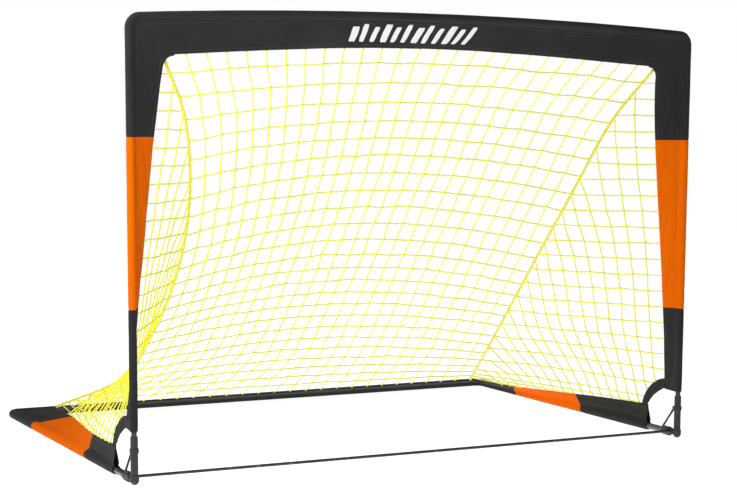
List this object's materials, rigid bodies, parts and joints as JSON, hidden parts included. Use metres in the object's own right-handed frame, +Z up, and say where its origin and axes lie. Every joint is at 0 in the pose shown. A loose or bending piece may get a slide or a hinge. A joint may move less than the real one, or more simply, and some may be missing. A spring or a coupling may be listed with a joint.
{
  "type": "soccer goal frame",
  "caption": "Folding training goal: fabric-sleeved rod arch hinged on a U-shaped ground loop, with a slack net, corner struts and a front ground bar",
  "frame": {"origin": "on the ground, in the middle of the goal's footprint", "axes": "X across the goal, the mouth faces -Y, Z up"},
  "size_m": [1.306, 0.8941, 0.9187],
  "materials": {
    "rod": "hollow fibreglass rod, satin",
    "steel": "zinc-plated steel, dull",
    "dark_steel": "black powder coat",
    "black_plastic": "moulded, fine grain",
    "black_fabric": "woven polyester, sewn",
    "orange_fabric": "woven polyester, sewn",
    "net": "knotted polyethylene cord"
  },
  "bodies": {
    "base_loop": {"back_net": "net", "bar_end_caps": "black_plastic", "ground_bar": "steel", "left_base_rod": "rod", "left_base_sleeve_front": "black_fabric", "left_base_sleeve_middle": "orange_fabric", "left_base_sleeve_rear": "black_fabric", "left_base_tube": "steel", "left_corner_tie": "black_fabric", "left_edge_cord": "net", "left_hinge_lug": "steel", "left_hub_collar": "black_plastic", "left_rear_elbow": "steel", "left_rear_rod": "rod", "left_side_net": "net", "rear_base_sleeve": "black_fabric", "rear_splice": "steel", "right_base_rod": "rod", "right_base_sleeve_front": "black_fabric", "right_base_sleeve_middle": "orange_fabric", "right_base_sleeve_rear": "black_fabric", "right_base_tube": "steel", "right_corner_tie": "black_fabric", "right_edge_cord": "net", "right_hinge_lug": "steel", "right_hub_collar": "black_plastic", "right_rear_elbow": "steel", "right_rear_rod": "rod", "right_side_net": "net"},
    "front_arch": {"crossbar_sleeve": "black_fabric", "crossbar_splice": "steel", "left_crossbar_rod": "rod", "left_hinge_clevis": "dark_steel", "left_post_foot": "black_plastic", "left_post_rod": "rod", "left_post_sleeve_lower": "black_fabric", "left_post_sleeve_middle": "orange_fabric", "left_post_sleeve_upper": "black_fabric", "left_post_tube": "steel", "left_strut_bracket": "dark_steel", "left_strut_pin": "steel", "left_top_elbow": "steel", "right_crossbar_rod": "rod", "right_hinge_clevis": "dark_steel", "right_post_foot": "black_plastic", "right_post_rod": "rod", "right_post_sleeve_lower": "black_fabric", "right_post_sleeve_middle": "orange_fabric", "right_post_sleeve_upper": "black_fabric", "right_post_tube": "steel", "right_strut_bracket": "dark_steel", "right_strut_pin": "steel", "right_top_elbow": "steel"},
    "left_strut": {"left_strut": "dark_steel"},
    "right_strut": {"right_strut": "dark_steel"}
  },
  "joints": [
    {"name": "arch_fold", "type": "hinge", "parent": "base_loop", "child": "front_arch", "pos_m": [0, -0.4184, 0.012], "axis": [-1, 0, 0], "range_deg": [0, 90], "deforming": ["back_net", "crossbar_sleeve", "left_base_sleeve_front", "left_base_sleeve_middle", "left_base_sleeve_rear", "left_corner_tie", "left_edge_cord", "left_post_sleeve_lower", "left_post_sleeve_middle", "left_post_sleeve_upper", "left_side_net", "rear_base_sleeve", "right_base_sleeve_front", "right_base_sleeve_middle", "right_base_sleeve_rear", "right_corner_tie", "right_edge_cord", "right_post_sleeve_lower", "right_post_sleeve_middle", "right_post_sleeve_upper", "right_side_net"]},
    {"name": "left_strut_fold", "type": "hinge", "parent": "front_arch", "child": "left_strut", "pos_m": [-0.635, -0.4274, 0.066], "axis": [-1, 0, 0], "range_deg": [-132, 0]},
    {"name": "right_strut_fold", "type": "hinge", "parent": "front_arch", "child": "right_strut", "pos_m": [0.635, -0.4274, 0.066], "axis": [-1, 0, 0], "range_deg": [-132, 0]}
  ],
  "couplings": [
    {"joint": "left_strut_fold", "follows": "arch_fold", "ratio": -1.4513},
    {"joint": "right_strut_fold", "follows": "arch_fold", "ratio": -1.4513}
  ]
}
